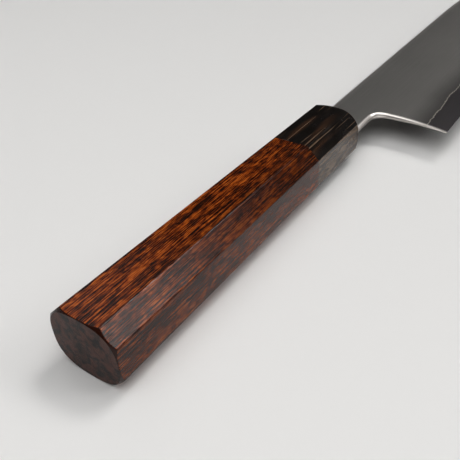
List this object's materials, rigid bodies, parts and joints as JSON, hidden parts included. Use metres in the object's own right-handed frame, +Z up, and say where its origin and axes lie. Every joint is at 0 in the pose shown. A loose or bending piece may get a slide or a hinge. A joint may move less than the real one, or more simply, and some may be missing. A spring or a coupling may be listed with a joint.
{
  "type": "chef knife",
  "caption": "Chef knife with a three-layer blade, a rounded choil and an octagonal wooden handle with a dark horn ferrule, lying on its side.",
  "frame": {"origin": "below the middle of the whole knife, on the surface it lies on: the centre of the bounding box's lowest face", "axes": "+X along the handle's axis from butt to tip, +Y from cutting edge to spine, +Z up, square to the blade's right face; the blade's middle plane is 10.9 mm above the origin"},
  "size_m": [0.3996, 0.0538, 0.0218],
  "materials": {
    "core_steel": "fine satin, etched darker than the cladding, polished on the choil",
    "cladding_steel": "fine satin, polished along choil and spine",
    "handle_wood": "oiled, polished, dark flecked hardwood",
    "ferrule_horn": "polished dark buffalo horn with brown streaks",
    "dowel_wood": "plain turned",
    "bedding_resin": "cured resin",
    "seal_wax": "smooth dark wax"
  },
  "bodies": {
    "root": {"blade_core": "core_steel", "cladding_right": "cladding_steel", "cladding_left": "cladding_steel", "handle_body": "handle_wood", "ferrule": "ferrule_horn", "dowel": "dowel_wood", "tang_bedding": "bedding_resin", "mouth_seal": "seal_wax"}
  },
  "joints": []
}
